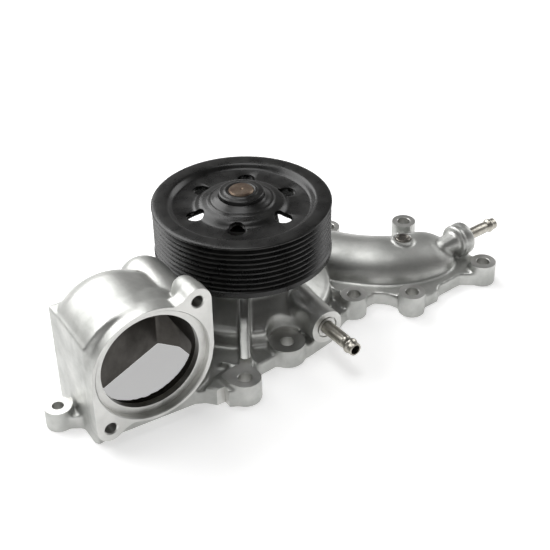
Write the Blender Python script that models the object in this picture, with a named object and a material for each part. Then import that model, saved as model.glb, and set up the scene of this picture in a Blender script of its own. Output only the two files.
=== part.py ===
"""Belt-driven engine coolant pump.

One die-cast aluminium housing holds the thermostat inlet, the volute, the bearing neck and the
outlet duct. A grooved pulley turns a shaft in a sealed ball-and-roller bearing, and the shaft
drives an impeller behind a carbon face seal. Metres, +Z up along the shaft, mounting face at z = 0.
The shapes are laid out from the shaft axis, and one empty moves the whole pump so that the row
frame's origin is at the middle of the bounding box's underside.
"""

import math

import bmesh
import bpy
from mathutils import Matrix, Vector

GAP = 0.0003                      # clearance between touching pieces

# Shaft and bearing
SHAFT_RADIUS = 0.0080
SHAFT_TOP = 0.0912
SHAFT_STEP = 0.0330
TAIL_RADIUS = SHAFT_RADIUS - 0.0015
TAIL_BOTTOM = 0.0030
ROLLING_COUNT = 8
BALL_RADIUS = 0.0030
BALL_CIRCLE = SHAFT_RADIUS + 0.9 * BALL_RADIUS      # a tenth of each ball runs in the shaft's groove
RACE_WALL = 0.0038                # outer race over the ball row
RACE_RADIUS = BALL_CIRCLE + BALL_RADIUS + RACE_WALL
RACE_LENGTH = 0.0370
BALL_HEIGHT = 0.0105              # ball row over the bearing's lower end
ROLLER_RADIUS = 0.0026
ROLLER_LENGTH = 0.0090
ROLLER_HEIGHT = 0.0265            # roller row over the bearing's lower end
CAGE_WALL = 0.0030
CAGE_RING = 0.0018
SHIELD_THICKNESS = 0.0018

# Pulley
PULLEY_RADIUS = 0.0574
PULLEY_BOTTOM = 0.0470
PULLEY_TOP = 0.0834
GROOVES = 8
GROOVE_PITCH = 0.00356
GROOVE_DEPTH = 0.0026
FIRST_CREST = 0.0820
RIM_WALL = 0.0026
WEB_TOP = 0.0800
WEB_THICKNESS = 0.0030
WEB_HOLES = 6
WEB_HOLE_RADIUS = 0.0057
WEB_HOLE_CIRCLE = 0.0318
WEB_HOLE_PHASE = 55.0
DOME_TOP = 0.0870
HUB_WALL = 0.0066
HUB_RADIUS = SHAFT_RADIUS + HUB_WALL
HUB_BOTTOM = 0.0755
HUB_TOP = 0.0900

# Thermostat inlet on the left: its bore runs along Y and opens to -Y
PULLEY_TO_BORE = 0.0460           # pulley rim to the bore's axis
BORE_X = -(PULLEY_RADIUS + PULLEY_TO_BORE)
BORE_Z = 0.0466
BORE_RADIUS = 0.0310
BORE_DEPTH = 0.0500
CHAMBER_WIDTH_RADIUS = 0.0332
SEAT_RADIUS = 0.0357
SEAT_DEPTH = 0.0045
INLET_FACE_Y = -0.0794
INLET_FLANGE_RADIUS = 0.0382
INLET_FLANGE_THICKNESS = 0.0100
EAR_OFFSET_X = 0.0300
EAR_OFFSET_Z = 0.0332
EAR_RADIUS = 0.0088
EAR_HOLE_RADIUS = 0.0036
EAR_HOLE_DEPTH = 0.0180
EAR_CHAMFER = 0.0008
CASE_X = BORE_X - 0.0051
CASE_RADIUS = 0.0382
BARREL_RADIUS = 0.0375
CASE_LEFT_X = CASE_X - 0.0330
CASE_BACK_Y = -0.0180
CASE_WALL = 0.0050

# Mounting plate and its bolt bosses: name, x, y, outer radius, top height, hole radius
PLATE_THICKNESS = 0.009
BOLT_HOLE_RADIUS = 0.0044
LUG_HOLE_RADIUS = 0.0034
BOSS_HEIGHT = 0.015
BOSS_RADIUS = 0.0088
BOSSES = (
    ("front_left", -0.0462, -0.0813, 0.0100, BOSS_HEIGHT, BOLT_HOLE_RADIUS),
    ("front", -0.0047, -0.0618, 0.0115, 0.0125, BOLT_HOLE_RADIUS),
    ("front_right", 0.0572, -0.0444, BOSS_RADIUS, BOSS_HEIGHT, BOLT_HOLE_RADIUS),
    ("right", 0.0912, -0.0626, BOSS_RADIUS, BOSS_HEIGHT, BOLT_HOLE_RADIUS),
    ("far_right", 0.1531, -0.0593, BOSS_RADIUS, BOSS_HEIGHT, BOLT_HOLE_RADIUS),
    ("back_right", 0.1382, 0.0120, 0.0084, BOSS_HEIGHT, BOLT_HOLE_RADIUS),
    ("back_middle", 0.0885, 0.0350, 0.0082, BOSS_HEIGHT, BOLT_HOLE_RADIUS),
    ("back", 0.0420, 0.0600, BOSS_RADIUS, BOSS_HEIGHT, BOLT_HOLE_RADIUS),
    ("back_left", -0.0160, 0.0680, BOSS_RADIUS, BOSS_HEIGHT, BOLT_HOLE_RADIUS),
    ("left_back", -0.0700, 0.0330, BOSS_RADIUS, BOSS_HEIGHT, BOLT_HOLE_RADIUS),
    ("far_left", BORE_X - 0.0482, -0.0440, 0.0084, 0.0135, LUG_HOLE_RADIUS),
)
PLATE_OUTLINE = (
    (BORE_X - 0.0366, -0.0740), (BORE_X - 0.0166, -0.0688), (-0.0850, -0.0672), (-0.0677, -0.0752),
    (-0.0560, -0.0845), (-0.0385, -0.0790), (-0.0300, -0.0690), (-0.0180, -0.0670), (-0.0047, -0.0640),
    (0.0060, -0.0695), (0.0280, -0.0635), (0.0435, -0.0520), (0.0500, -0.0490), (0.0667, -0.0450),
    (0.0745, -0.0435), (0.0818, -0.0500), (0.0870, -0.0620), (0.0990, -0.0655), (0.1120, -0.0640),
    (0.1160, -0.0598), (0.1365, -0.0568), (0.1450, -0.0630), (0.1600, -0.0520), (0.1570, -0.0400),
    (0.1520, -0.0250), (0.1455, -0.0070), (0.1400, 0.0020), (0.1300, 0.0080), (0.1120, 0.0120),
    (0.0990, 0.0220), (0.0940, 0.0370), (0.0800, 0.0400), (0.0560, 0.0500), (0.0440, 0.0640),
    (0.0220, 0.0580), (0.0000, 0.0590), (-0.0160, 0.0700), (-0.0300, 0.0600), (-0.0500, 0.0400),
    (-0.0700, 0.0360), (-0.0900, 0.0180), (BORE_X - 0.0116, -0.0050), (BORE_X - 0.0366, -0.0205),
    (BORE_X - 0.0381, -0.0370), (BORE_X - 0.0496, -0.0390), (BORE_X - 0.0521, -0.0480),
    (BORE_X - 0.0381, -0.0560),
)

# Volute and bearing neck, turned about the shaft
VOLUTE_RADIUS = 0.057
VOLUTE_SHOULDER = 0.0195
CHAMBER_RADIUS = 0.045
CHAMBER_HEIGHT = 0.017
NECK_WALL = 0.0050
NECK_RADIUS = RACE_RADIUS + NECK_WALL
NECK_FOOT_RADIUS = 0.031
NECK_TOP = 0.0730
SEAL_BORE_RADIUS = 0.0182
SEAL_BORE_TOP = 0.0315
THROAT_RADIUS = SHAFT_RADIUS + 0.0050
BEARING_BOTTOM = 0.0350
WEEP_RADIUS = 0.0026

# Outlet duct: stations of x, y, half width, height over the plate
DUCT_STATIONS = (
    (0.0560, 0.0260, 0.0235, 0.0170), (0.0700, 0.0090, 0.0240, 0.0172),
    (0.0830, -0.0070, 0.0240, 0.0180), (0.0970, -0.0195, 0.0240, 0.0192),
    (0.1110, -0.0255, 0.0240, 0.0180), (0.1240, -0.0270, 0.0240, 0.0168),
)
DUCT_END_STEPS = 4
DUCT_ARC_STEPS = 10
DUCT_WALL = 0.0040
THROAT_OUTLINE = ((0.0400, 0.0180), (0.0425, 0.0100), (0.0530, 0.0165), (0.0490, 0.0205))
THROAT_HEIGHT = 0.0140
PLUG_X = 0.1108
PLUG_Y = -0.0242
PLUG_RADIUS = 0.0052
PLUG_PAD_RADIUS = 0.0068
PLUG_PAD_TOP = 0.0292
PLUG_DEPTH = 0.0024

# Hose nipples and the bosses that hold them: axis through a point, heading in degrees
FRONT_NIPPLE_AT = (0.0190, -0.0710, 0.0200)
FRONT_NIPPLE_HEADING = -86.0
FRONT_BOSS_RADIUS = 0.0113
FRONT_BOSS_LENGTH = 0.0480
FRONT_TUBE_RADIUS = 0.0043
FRONT_TUBE_LENGTH = 0.0290
SIDE_NIPPLE_AT = (0.1560, -0.0345, 0.0203)
SIDE_NIPPLE_HEADING = 6.6
SIDE_COLLAR_RADIUS = 0.0115
SIDE_NECK_RADIUS = 0.0072
SIDE_TUBE_RADIUS = 0.0040
SIDE_TUBE_LENGTH = 0.0287
TUBE_WALL = 0.0012
TUBE_GRIP = 0.0100                # length of each nipple pressed into its boss

# Face seal
CUP_WALL = 0.0009
CUP_BOTTOM = 0.0192
CARBON_BOTTOM = 0.0188
CARBON_HEIGHT = 0.0028
CARBON_RADIUS = 0.0118
CARBON_FLANGE_RADIUS = 0.0160
CERAMIC_HEIGHT = 0.0026
CERAMIC_RADIUS = 0.0125
SPRING_RADIUS = 0.0142
SPRING_WIRE = 0.0007
SPRING_TURNS = 3.5

# Impeller
IMPELLER_RADIUS = 0.0400
IMPELLER_BOTTOM = 0.0032
IMPELLER_TOP = 0.0142
SHROUD_THICKNESS = 0.0024
IMPELLER_HUB_RADIUS = 0.0120
BUSH_RADIUS = 0.0088
BLADES = 6
BLADE_THICKNESS = 0.0022
BLADE_SWEEP = 62.0                # degrees that a blade turns back on its way out


# ---------------------------------------------------------------- scene, materials, meshes

def clear_scene():
    for obj in list(bpy.data.objects):
        bpy.data.objects.remove(obj, do_unlink=True)


def finish(name, colour, roughness, metallic):
    material = bpy.data.materials.new(name)
    material.use_nodes = True
    shader = material.node_tree.nodes["Principled BSDF"]
    shader.inputs["Base Color"].default_value = (*colour, 1.0)
    shader.inputs["Roughness"].default_value = roughness
    shader.inputs["Metallic"].default_value = metallic
    return material


def add_object(name, shape, material, parent, smooth=True):
    """A new object from a bmesh, shaded smooth with its edges over 35 degrees kept sharp."""
    bmesh.ops.remove_doubles(shape, verts=shape.verts[:], dist=1e-6)
    bmesh.ops.recalc_face_normals(shape, faces=shape.faces[:])
    mesh = bpy.data.meshes.new(name)
    shape.to_mesh(mesh)
    shape.free()
    if smooth:
        mesh.shade_smooth()
        mesh.set_sharp_from_angle(angle=math.radians(35))
    mesh.materials.append(material)
    obj = bpy.data.objects.new(name, mesh)
    bpy.context.scene.collection.objects.link(obj)
    obj.parent = parent
    return obj


def add_empty(name, parent, location=(0.0, 0.0, 0.0)):
    empty = bpy.data.objects.new(name, None)
    empty.empty_display_size = 0.02
    empty.location = location
    bpy.context.scene.collection.objects.link(empty)
    empty.parent = parent
    return empty


def as_guide(obj, collection):
    """Makes an object a cutter or a lump: a wire guide that only a Boolean reads."""
    bpy.context.scene.collection.objects.unlink(obj)
    collection.objects.link(obj)
    obj.hide_render = True
    obj.display_type = "WIRE"
    return obj


def add_boolean(obj, operation, collection):
    modifier = obj.modifiers.new(collection.name, "BOOLEAN")
    modifier.operation = operation
    modifier.solver = "EXACT"
    modifier.operand_type = "COLLECTION"
    modifier.collection = collection


def new_group(name):
    group = bpy.data.collections.new(name)
    bpy.context.scene.collection.children.link(group)
    group.hide_render = True
    return group


def turned(profile, segments):
    """A bmesh turned about Z from a closed outline of (radius, height) points."""
    shape = bmesh.new()
    points = [shape.verts.new((radius, 0.0, height)) for radius, height in profile]
    edges = []
    for index, point in enumerate(points):
        following = points[(index + 1) % len(points)]
        on_axis = point.co.x < 1e-9 and following.co.x < 1e-9
        if not on_axis:
            edges.append(shape.edges.new((point, following)))
    bmesh.ops.spin(
        shape, geom=points + edges, cent=(0.0, 0.0, 0.0), axis=(0.0, 0.0, 1.0),
        angle=math.tau, steps=segments, use_merge=True,
    )
    bmesh.ops.remove_doubles(shape, verts=shape.verts[:], dist=1e-7)
    return shape


def cylinder(radius, bottom, top, segments=24):
    return turned(((0.0, bottom), (radius, bottom), (radius, top), (0.0, top)), segments)


def prism(outline, bottom, top):
    """A bmesh of a flat outline, drawn counter-clockwise, raised from bottom to top."""
    shape = bmesh.new()
    face = shape.faces.new([shape.verts.new((x, y, bottom)) for x, y in outline])
    lifted = bmesh.ops.extrude_face_region(shape, geom=[face])
    moved = [item for item in lifted["geom"] if isinstance(item, bmesh.types.BMVert)]
    bmesh.ops.translate(shape, verts=moved, vec=(0.0, 0.0, top - bottom))
    return shape


def arc(centre_x, centre_y, radius, start, end, steps):
    """Points of an arc, angles in degrees."""
    points = []
    for step in range(steps + 1):
        angle = math.radians(start + (end - start) * step / steps)
        points.append((centre_x + radius * math.cos(angle), centre_y + radius * math.sin(angle)))
    return points


def loft(sections):
    """A bmesh skin over closed sections with equal point counts, capped at both ends."""
    shape = bmesh.new()
    rings = [[shape.verts.new(point) for point in section] for section in sections]
    count = len(rings[0])
    for near, far in zip(rings, rings[1:]):
        for index in range(count):
            after = (index + 1) % count
            shape.faces.new((near[index], near[after], far[after], far[index]))
    shape.faces.new(rings[0])
    shape.faces.new(rings[-1])
    return shape


def ball(radius, segments=8, rings=6):
    shape = bmesh.new()
    bmesh.ops.create_uvsphere(shape, u_segments=segments, v_segments=rings, radius=radius)
    return shape


def along_minus_y():
    """Turns a shape's +Z to -Y, so that what is turned about Z lies along the inlet bore."""
    return Matrix.Rotation(math.radians(90.0), 4, "X")


def heading_frame(point, degrees):
    """A frame at a point whose +Z points level along a compass heading from +X."""
    turn = Matrix.Rotation(math.radians(degrees), 4, "Z")
    return Matrix.Translation(point) @ turn @ Matrix.Rotation(math.radians(90.0), 4, "Y")


# ---------------------------------------------------------------- housing

def inlet_flange_outline():
    """The flange seen along its bore: a disc with an ear top right and one bottom left."""
    half = [(EAR_OFFSET_X + EAR_RADIUS, 0.0)]
    half += arc(EAR_OFFSET_X, EAR_OFFSET_Z, EAR_RADIUS, 0.0, 150.0, 8)
    half += arc(0.0, 0.0, INLET_FLANGE_RADIUS, 66.0, 172.0, 12)
    other = [(-x, -z) for x, z in half]
    return half + other


def duct_sections(inset, bottom):
    """Half-round sections along the duct, closed by a round end. Inset leaves the wall."""
    stations = list(DUCT_STATIONS)
    start_x, start_y, width, height = stations[0]
    shift = Vector((stations[1][0] - start_x, stations[1][1] - start_y)).normalized() * inset
    stations[0] = (start_x + shift.x, start_y + shift.y, width, height)
    end_x, end_y, width, height = stations[-1]
    before_x, before_y = stations[-2][:2]
    heading = math.atan2(end_y - before_y, end_x - before_x)
    for step in range(1, DUCT_END_STEPS + 1):
        turn = math.radians(86.0) * step / DUCT_END_STEPS
        reach = (width - inset) * math.sin(turn)
        stations.append((
            end_x + reach * math.cos(heading), end_y + reach * math.sin(heading),
            inset + (width - inset) * math.cos(turn), inset + (height - inset) * math.cos(turn),
        ))
    sections = []
    for index, (x, y, half_width, height) in enumerate(stations):
        before = stations[max(index - 1, 0)]
        after = stations[min(index + 1, len(stations) - 1)]
        along = Vector((after[0] - before[0], after[1] - before[1], 0.0)).normalized()
        across = Vector((-along.y, along.x, 0.0))
        section = []
        for side, rise in arc(0.0, 0.0, 1.0, 0.0, 180.0, DUCT_ARC_STEPS):
            level = PLATE_THICKNESS + rise * (height - inset)
            section.append(Vector((x, y, level)) + across * side * (half_width - inset))
        section.append(Vector((x, y, bottom)) - across * (half_width - inset))
        section.append(Vector((x, y, bottom)) + across * (half_width - inset))
        sections.append(section)
    return sections


def gusset(foot, heading, profile, thickness):
    """A flat rib: a (distance, height) outline, stood up along a heading from a point."""
    shape = prism(profile, -thickness / 2, thickness / 2)
    turn = Matrix.Rotation(math.radians(heading), 4, "Z")
    upright = Matrix.Rotation(math.radians(90.0), 4, "X")
    shape.transform(Matrix.Translation((*foot, 0.0)) @ turn @ upright)
    return shape


def casting_lumps(group, aluminium, frame):
    def lump(name, shape, place=None):
        if place is not None:
            shape.transform(place)
        as_guide(add_object(name, shape, aluminium, frame), group)

    for name, x, y, radius, top, _ in BOSSES:
        lump("boss_" + name, cylinder(radius, 0.0, top, 16), Matrix.Translation((x, y, 0.0)))

    lump("volute", turned((
        (0.0, 0.0), (VOLUTE_RADIUS, 0.0), (VOLUTE_RADIUS, VOLUTE_SHOULDER - 0.0030),
        (VOLUTE_RADIUS - 0.0012, VOLUTE_SHOULDER), (VOLUTE_RADIUS - 0.0040, VOLUTE_SHOULDER + 0.0018),
        (0.0460, 0.0255), (0.0385, 0.0320), (NECK_FOOT_RADIUS, 0.0410), (0.0275, 0.0480),
        (0.0255, 0.0560), (NECK_RADIUS, NECK_TOP - 0.0010), (NECK_RADIUS - 0.0010, NECK_TOP),
        (0.0, NECK_TOP),
    ), 36))

    # Inlet: machined flange with two ears, a round case behind it, and its left and lower walls
    flange = prism(inlet_flange_outline(), -INLET_FLANGE_THICKNESS, 0.0)
    inlet_face = Matrix.Translation((BORE_X, INLET_FACE_Y, BORE_Z)) @ along_minus_y()
    lump("inlet_flange", flange, inlet_face)
    case_length = CASE_BACK_Y - INLET_FACE_Y
    case = turned((
        (0.0, -case_length), (0.0240, -case_length), (0.0320, -case_length + 0.0030),
        (CASE_RADIUS - 0.0022, -case_length + 0.0090), (CASE_RADIUS, -case_length + 0.0160),
        (CASE_RADIUS, -0.0075), (0.0, -0.0075),
    ), 36)
    case.transform(Matrix.Translation((CASE_X, INLET_FACE_Y, BORE_Z)) @ along_minus_y())
    sliced = bmesh.ops.bisect_plane(
        case, geom=case.verts[:] + case.edges[:] + case.faces[:], plane_co=(CASE_LEFT_X, 0.0, 0.0),
        plane_no=(-1.0, 0.0, 0.0), clear_outer=True,
    )
    rim = [item for item in sliced["geom_cut"] if isinstance(item, bmesh.types.BMEdge)]
    bmesh.ops.holes_fill(case, edges=rim, sides=0)
    lump("inlet_case", case)
    lump("inlet_barrel", turned((
        (0.0, -0.0360), (BARREL_RADIUS - 0.0075, -0.0360), (BARREL_RADIUS - 0.0033, -0.0310),
        (BARREL_RADIUS, -0.0200), (BARREL_RADIUS, -0.0020), (0.0, -0.0020),
    ), 36), Matrix.Translation((BORE_X, INLET_FACE_Y, BORE_Z)) @ along_minus_y())
    skirt = (
        (CASE_LEFT_X, -0.0715), (-0.0760, -0.0715), (-0.0640, -0.0650), (-0.0550, -0.0530),
        (-0.0500, -0.0320), (-0.0500, -0.0120), (-0.0620, 0.0020), (-0.0700, 0.0030),
        (BORE_X - 0.0146, -0.0195), (CASE_LEFT_X, -0.0205),
    )
    lump("inlet_skirt", prism(skirt, 0.0, 0.0430))
    left_wall = (
        (CASE_LEFT_X, -0.0715), (BORE_X + 0.0034, -0.0715), (BORE_X + 0.0034, -0.0205),
        (CASE_LEFT_X, -0.0205),
    )
    lump("inlet_left_wall", prism(left_wall, 0.0, 0.0680))
    column = turned((
        (0.0, -0.0230), (0.0040, -0.0225), (EAR_RADIUS - 0.0020, -0.0200), (EAR_RADIUS - 0.0010, -0.0160),
        (EAR_RADIUS, -0.0050), (0.0, -0.0050),
    ), 18)
    ear = Matrix.Translation((BORE_X + EAR_OFFSET_X, INLET_FACE_Y, BORE_Z + EAR_OFFSET_Z))
    lump("ear_column", column, ear @ along_minus_y())
    hump = turned((
        (0.0, -0.0740), (0.0080, -0.0725), (0.0130, -0.0690), (0.0160, -0.0620), (0.0165, -0.0540),
        (0.0160, -0.0350), (0.0140, -0.0220), (0.0, -0.0200),
    ), 20)
    lump("bypass_hump", hump, Matrix.Translation((BORE_X + 0.0239, INLET_FACE_Y, 0.0612)) @ along_minus_y())
    shoulder = (
        (BORE_X + 0.0154, -0.0600), (BORE_X + 0.0374, -0.0600), (BORE_X + 0.0394, -0.0300),
        (BORE_X + 0.0394, -0.0100), (BORE_X + 0.0154, -0.0100),
    )
    lump("inlet_shoulder", prism(shoulder, 0.0250, 0.0600))

    # Outlet duct with its plug pad, and the side nipple's neck and grooved collar
    lump("duct", loft(duct_sections(0.0, 0.0)))
    lump("plug_pad", cylinder(PLUG_PAD_RADIUS, 0.0200, PLUG_PAD_TOP, 20),
         Matrix.Translation((PLUG_X, PLUG_Y, 0.0)))
    side = heading_frame(SIDE_NIPPLE_AT, SIDE_NIPPLE_HEADING)
    lump("side_collar", turned((
        (0.0, -0.0240), (SIDE_NECK_RADIUS - 0.0026, -0.0240), (SIDE_NECK_RADIUS, -0.0130),
        (SIDE_NECK_RADIUS, -0.0112),
        (SIDE_COLLAR_RADIUS - 0.0006, -0.0106), (SIDE_COLLAR_RADIUS, -0.0098),
        (SIDE_COLLAR_RADIUS, -0.0082), (SIDE_COLLAR_RADIUS - 0.0014, -0.0074),
        (SIDE_COLLAR_RADIUS - 0.0014, -0.0064), (SIDE_COLLAR_RADIUS, -0.0056),
        (SIDE_COLLAR_RADIUS, -0.0008), (SIDE_COLLAR_RADIUS - 0.0008, 0.0), (0.0, 0.0),
    ), 20), side)

    # Front nipple boss, flared where it leaves the volute
    front = heading_frame(FRONT_NIPPLE_AT, FRONT_NIPPLE_HEADING)
    lump("front_nipple_boss", turned((
        (0.0, -FRONT_BOSS_LENGTH), (0.0160, -FRONT_BOSS_LENGTH), (0.0154, -0.0320),
        (0.0126, -0.0180), (FRONT_BOSS_RADIUS, -0.0120), (FRONT_BOSS_RADIUS, -0.0010),
        (FRONT_BOSS_RADIUS - 0.0010, 0.0), (0.0, 0.0),
    ), 20), front)

    # A flat pad runs from the front left boss to the inlet, with a ledge below its front edge
    ledge = (
        (-0.0462, -0.0910), (-0.0370, -0.0860), (-0.0375, -0.0740), (-0.0440, -0.0660),
        (-0.0580, -0.0725), (-0.0640, -0.0780), (-0.0580, -0.0860),
    )
    lump("front_left_ledge", prism(ledge, 0.0, 0.0120))
    pad = (
        (-0.0520, -0.0886), (-0.0370, -0.0850), (-0.0376, -0.0750), (-0.0457, -0.0680),
        (-0.0585, -0.0720), (-0.0570, -0.0820),
    )
    lump("front_left_pad", prism(pad, 0.0050, BOSS_HEIGHT))

    # Ribs over the plate
    to_boss = math.degrees(math.atan2(BOSSES[0][2], BOSSES[0][1]))
    reach = math.hypot(BOSSES[0][1], BOSSES[0][2]) - BOSSES[0][3]
    lump("front_left_rib", gusset((0.0, 0.0), to_boss, (
        (0.0240, 0.0060), (reach + 0.0020, 0.0060), (reach + 0.0015, BOSS_HEIGHT),
        (0.0600, 0.0250), (0.0430, 0.0360), (0.0240, 0.0450),
    ), 0.0068))
    lump("right_rib", gusset((0.0390, -0.0100), -68.0, (
        (0.0, 0.0060), (0.0360, 0.0060), (0.0340, 0.0150), (0.0200, 0.0190), (0.0, 0.0270),
    ), 0.0026))
    lump("front_rib", gusset((-0.0220, -0.0380), -112.0, (
        (0.0, 0.0060), (0.0330, 0.0060), (0.0320, 0.0130), (0.0140, 0.0190), (0.0, 0.0240),
    ), 0.0026))


def casting_cores(group, aluminium, frame):
    def core(name, shape, place=None):
        if place is not None:
            shape.transform(place)
        as_guide(add_object(name, shape, aluminium, frame), group)

    for name, x, y, _, top, hole in BOSSES:
        core("hole_" + name, cylinder(hole, -0.0020, top + 0.0020, 12), Matrix.Translation((x, y, 0.0)))

    core("chamber_and_bores", turned((
        (0.0, -0.0020), (CHAMBER_RADIUS, -0.0020), (CHAMBER_RADIUS, CHAMBER_HEIGHT),
        (SEAL_BORE_RADIUS, CHAMBER_HEIGHT), (SEAL_BORE_RADIUS, SEAL_BORE_TOP),
        (THROAT_RADIUS, SEAL_BORE_TOP), (THROAT_RADIUS, BEARING_BOTTOM - GAP),
        (RACE_RADIUS + GAP, BEARING_BOTTOM - GAP), (RACE_RADIUS + GAP, NECK_TOP + 0.0020),
        (0.0, NECK_TOP + 0.0020),
    ), 32))
    core("duct_passage", loft(duct_sections(DUCT_WALL, -0.0020)))
    core("duct_throat", prism(THROAT_OUTLINE, -0.0020, THROAT_HEIGHT))

    inlet_axis = Matrix.Translation((BORE_X, INLET_FACE_Y, BORE_Z)) @ along_minus_y()
    core("inlet_bore", turned((
        (0.0, -BORE_DEPTH - 0.0040), (0.0200, -BORE_DEPTH - 0.0040),
        (CHAMBER_WIDTH_RADIUS, -BORE_DEPTH), (CHAMBER_WIDTH_RADIUS, -INLET_FLANGE_THICKNESS + 0.0010),
        (BORE_RADIUS, -INLET_FLANGE_THICKNESS + 0.0010), (BORE_RADIUS, -SEAT_DEPTH),
        (SEAT_RADIUS, -SEAT_DEPTH), (SEAT_RADIUS, 0.0020), (0.0, 0.0020),
    ), 36), inlet_axis)
    floor_opening = (
        (CASE_LEFT_X + CASE_WALL, -0.0630), (-0.0720, -0.0630), (-0.0610, -0.0500),
        (-0.0560, -0.0300), (-0.0580, -0.0160), (-0.0680, -0.0050), (BORE_X - 0.0126, -0.0280),
        (CASE_LEFT_X + CASE_WALL, -0.0340),
    )
    core("inlet_floor", prism(floor_opening, -0.0020, 0.0380))
    for side in (1.0, -1.0):
        ear = Matrix.Translation((
            BORE_X + side * EAR_OFFSET_X, INLET_FACE_Y, BORE_Z + side * EAR_OFFSET_Z,
        )) @ along_minus_y()
        name = "upper" if side > 0 else "lower"
        core("ear_hole_" + name, turned((
            (0.0, -EAR_HOLE_DEPTH - 0.0020), (EAR_HOLE_RADIUS, -EAR_HOLE_DEPTH),
            (EAR_HOLE_RADIUS, -EAR_CHAMFER), (EAR_HOLE_RADIUS + EAR_CHAMFER + 0.0010, 0.0010),
            (0.0, 0.0010),
        ), 12), ear)

    seat_floor = PLUG_PAD_TOP - PLUG_DEPTH - GAP
    core("plug_seat", cylinder(PLUG_RADIUS + GAP, seat_floor, PLUG_PAD_TOP + 0.0020, 20),
         Matrix.Translation((PLUG_X, PLUG_Y, 0.0)))
    for name, point, heading, radius, depth in (
        ("front", FRONT_NIPPLE_AT, FRONT_NIPPLE_HEADING, FRONT_TUBE_RADIUS, 0.0420),
        ("side", SIDE_NIPPLE_AT, SIDE_NIPPLE_HEADING, SIDE_TUBE_RADIUS, 0.0300),
    ):
        bore = radius - TUBE_WALL
        core(name + "_nipple_bore", turned((
            (0.0, -depth), (bore, -depth), (bore, -TUBE_GRIP - GAP), (radius + GAP, -TUBE_GRIP - GAP),
            (radius + GAP, 0.0020), (0.0, 0.0020),
        ), 12), heading_frame(point, heading))
    core("front_passage_drop", cylinder(0.0040, -0.0020, 0.0200, 10),
         Matrix.Translation((0.0168, -0.0380, 0.0)))
    weep = cylinder(WEEP_RADIUS, 0.0, 0.0400, 10)
    weep.transform(heading_frame((0.0, 0.0, BEARING_BOTTOM - 0.0020), 90.0))
    core("weep_hole", weep)


def make_housing(frame, aluminium):
    lumps = new_group("casting_lumps")
    cores = new_group("casting_cores")
    casting_lumps(lumps, aluminium, frame)
    casting_cores(cores, aluminium, frame)
    housing = add_object("pump_housing", prism(PLATE_OUTLINE, 0.0, PLATE_THICKNESS), aluminium, frame)
    add_boolean(housing, "UNION", lumps)
    add_boolean(housing, "DIFFERENCE", cores)
    return housing


# ---------------------------------------------------------------- pulley and hub

def make_pulley(rotor, black_steel):
    outer = [(PULLEY_RADIUS - 0.0004, PULLEY_TOP - 0.0003), (PULLEY_RADIUS, PULLEY_TOP - 0.0007)]
    crest_radius = PULLEY_RADIUS - 0.0004
    for groove in range(GROOVES + 1):
        crest = FIRST_CREST - groove * GROOVE_PITCH
        outer.append((crest_radius, crest))
        if groove < GROOVES:
            outer.append((crest_radius - GROOVE_DEPTH, crest - GROOVE_PITCH / 2))
    outer += [
        (crest_radius - GROOVE_DEPTH, PULLEY_BOTTOM + 0.0053), (PULLEY_RADIUS, PULLEY_BOTTOM + 0.0035),
        (PULLEY_RADIUS, PULLEY_BOTTOM),
    ]
    inner_radius = crest_radius - GROOVE_DEPTH - RIM_WALL
    web_bottom = WEB_TOP - WEB_THICKNESS
    bore = HUB_RADIUS + GAP
    inside = [
        (inner_radius, PULLEY_BOTTOM), (inner_radius, web_bottom - 0.0020),
        (inner_radius - 0.0030, web_bottom), (0.0310, web_bottom), (0.0292, web_bottom + 0.0008),
        (0.0265, DOME_TOP - 0.0070), (0.0220, DOME_TOP - 0.0060), (0.0180, DOME_TOP - 0.0046),
        (bore, DOME_TOP - 0.0040),
    ]
    top = [
        (bore, DOME_TOP), (0.0166, DOME_TOP - 0.0010), (0.0189, DOME_TOP - 0.0023),
        (0.0204, DOME_TOP - 0.0025), (0.0216, DOME_TOP - 0.0034), (0.0246, DOME_TOP - 0.0038),
        (0.0264, DOME_TOP - 0.0042), (0.0276, DOME_TOP - 0.0048), (0.0296, WEB_TOP + 0.0005),
        (0.0308, WEB_TOP), (0.0432, WEB_TOP), (0.0442, WEB_TOP + 0.0003), (0.0462, WEB_TOP + 0.0024),
        (0.0484, PULLEY_TOP), (0.0560, PULLEY_TOP),
    ]
    pulley = add_object("pulley", turned(outer + inside + top, 30), black_steel, rotor)
    holes = new_group("pulley_holes")
    for index in range(WEB_HOLES):
        angle = math.radians(WEB_HOLE_PHASE + 360.0 * index / WEB_HOLES)
        shape = cylinder(WEB_HOLE_RADIUS, WEB_TOP - 0.0080, DOME_TOP, 12)
        shape.transform(Matrix.Translation((
            WEB_HOLE_CIRCLE * math.cos(angle), WEB_HOLE_CIRCLE * math.sin(angle), 0.0,
        )))
        as_guide(add_object("pulley_hole_%d" % index, shape, black_steel, rotor), holes)
    add_boolean(pulley, "DIFFERENCE", holes)


def make_hub(rotor, black_steel):
    bore = SHAFT_RADIUS + GAP
    add_object("pulley_hub", turned((
        (bore, HUB_BOTTOM), (HUB_RADIUS - 0.0006, HUB_BOTTOM), (HUB_RADIUS, HUB_BOTTOM + 0.0006),
        (HUB_RADIUS, HUB_TOP - 0.0026), (HUB_RADIUS - 0.0008, HUB_TOP - 0.0010),
        (HUB_RADIUS - 0.0024, HUB_TOP), (bore + 0.0012, HUB_TOP), (bore, HUB_TOP - 0.0010),
    ), 24), black_steel, rotor)


# ---------------------------------------------------------------- shaft and bearing

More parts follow.
